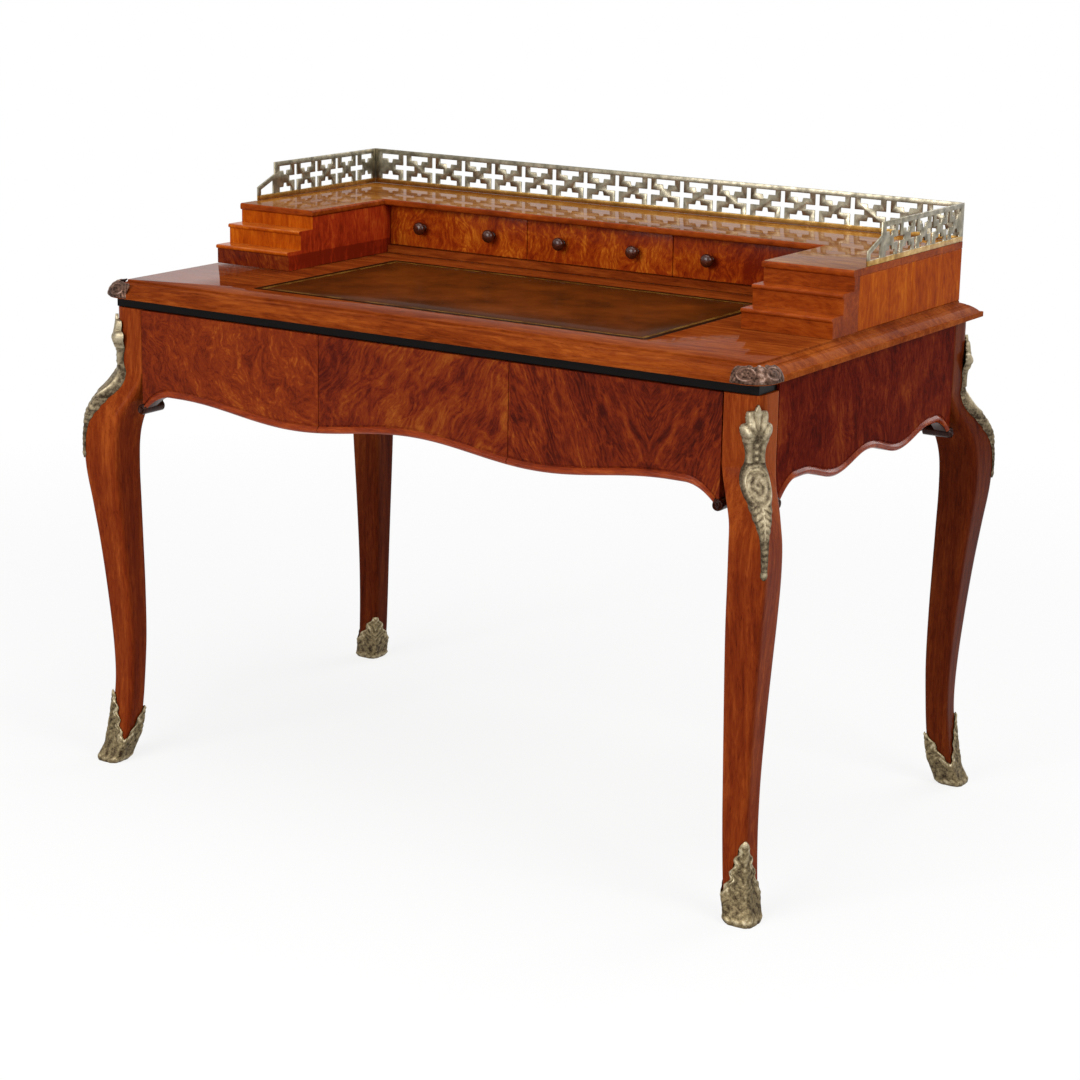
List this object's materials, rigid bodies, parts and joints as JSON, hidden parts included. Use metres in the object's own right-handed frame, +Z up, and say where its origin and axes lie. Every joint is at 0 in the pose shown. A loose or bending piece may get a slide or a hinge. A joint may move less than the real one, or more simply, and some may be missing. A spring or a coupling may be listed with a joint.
{
  "type": "carlton house desk",
  "caption": "Walnut writing desk on cabriole legs with frieze drawers, a leather top and a low U-shaped stand of small drawers edged by a pierced brass gallery.",
  "frame": {"origin": "on the floor under the middle of the desk", "axes": "+X to the sitter's right, +Y from the sitter to the back of the desk, +Z up"},
  "size_m": [1.1902, 0.7402, 0.9113],
  "materials": {
    "figured_walnut": "polished figured walnut",
    "polished_veneer": "polished figured veneer",
    "ebonised_moulding": "ebonised, polished",
    "drawer_lining": "plain planed wood",
    "tooled_leather": "polished leather with a tooled border",
    "gilt_brass": "worn gilding",
    "gallery_brass": "satin brass",
    "turned_knob": "dark polished wood"
  },
  "bodies": {
    "desk": {"leg_front_left": "figured_walnut", "leg_front_right": "figured_walnut", "leg_rear_left": "figured_walnut", "leg_rear_right": "figured_walnut", "shoe_front_left": "gilt_brass", "shoe_front_right": "gilt_brass", "shoe_rear_left": "gilt_brass", "shoe_rear_right": "gilt_brass", "knee_mount_front_left": "gilt_brass", "knee_mount_front_right": "gilt_brass", "knee_mount_rear_left": "gilt_brass", "knee_mount_rear_right": "gilt_brass", "corner_mount_left": "gilt_brass", "corner_mount_right": "gilt_brass", "side_apron_left": "polished_veneer", "side_apron_right": "polished_veneer", "rear_apron": "polished_veneer", "front_rail": "ebonised_moulding", "drawer_divider_left": "drawer_lining", "drawer_divider_right": "drawer_lining", "drawer_runner_left": "drawer_lining", "drawer_runner_right": "drawer_lining", "desk_top": "figured_walnut", "leather_inset": "tooled_leather", "arm_outer_side_left": "polished_veneer", "arm_outer_side_right": "polished_veneer", "arm_inner_side_left": "polished_veneer", "arm_inner_side_right": "polished_veneer", "bank_end_left": "polished_veneer", "bank_end_right": "polished_veneer", "steps_left": "polished_veneer", "steps_right": "polished_veneer", "bank_plinth": "polished_veneer", "bank_back": "figured_walnut", "bank_divider_left": "drawer_lining", "bank_divider_right": "drawer_lining", "stand_top_board": "polished_veneer", "gallery_back": "gallery_brass", "gallery_left": "gallery_brass", "gallery_right": "gallery_brass"},
    "frieze_drawer_left": {"frieze_drawer_left_front": "polished_veneer", "frieze_drawer_left_box": "drawer_lining"},
    "frieze_drawer_centre": {"frieze_drawer_centre_front": "polished_veneer", "frieze_drawer_centre_box": "drawer_lining"},
    "frieze_drawer_right": {"frieze_drawer_right_front": "polished_veneer", "frieze_drawer_right_box": "drawer_lining"},
    "small_drawer_left": {"small_drawer_left_front": "polished_veneer", "small_drawer_left_box": "drawer_lining", "small_drawer_left_knob_left": "turned_knob", "small_drawer_left_knob_right": "turned_knob"},
    "small_drawer_centre": {"small_drawer_centre_front": "polished_veneer", "small_drawer_centre_box": "drawer_lining", "small_drawer_centre_knob_left": "turned_knob", "small_drawer_centre_knob_right": "turned_knob"},
    "small_drawer_right": {"small_drawer_right_front": "polished_veneer", "small_drawer_right_box": "drawer_lining", "small_drawer_right_knob_left": "turned_knob", "small_drawer_right_knob_right": "turned_knob"}
  },
  "joints": [
    {"name": "frieze_drawer_left_slide", "type": "slide", "parent": "desk", "child": "frieze_drawer_left", "axis": [0, -1, 0], "range_m": [0, 0.4]},
    {"name": "frieze_drawer_centre_slide", "type": "slide", "parent": "desk", "child": "frieze_drawer_centre", "axis": [0, -1, 0], "range_m": [0, 0.4]},
    {"name": "frieze_drawer_right_slide", "type": "slide", "parent": "desk", "child": "frieze_drawer_right", "axis": [0, -1, 0], "range_m": [0, 0.4]},
    {"name": "small_drawer_left_slide", "type": "slide", "parent": "desk", "child": "small_drawer_left", "axis": [0, -1, 0], "range_m": [0, 0.1]},
    {"name": "small_drawer_centre_slide", "type": "slide", "parent": "desk", "child": "small_drawer_centre", "axis": [0, -1, 0], "range_m": [0, 0.1]},
    {"name": "small_drawer_right_slide", "type": "slide", "parent": "desk", "child": "small_drawer_right", "axis": [0, -1, 0], "range_m": [0, 0.1]}
  ]
}
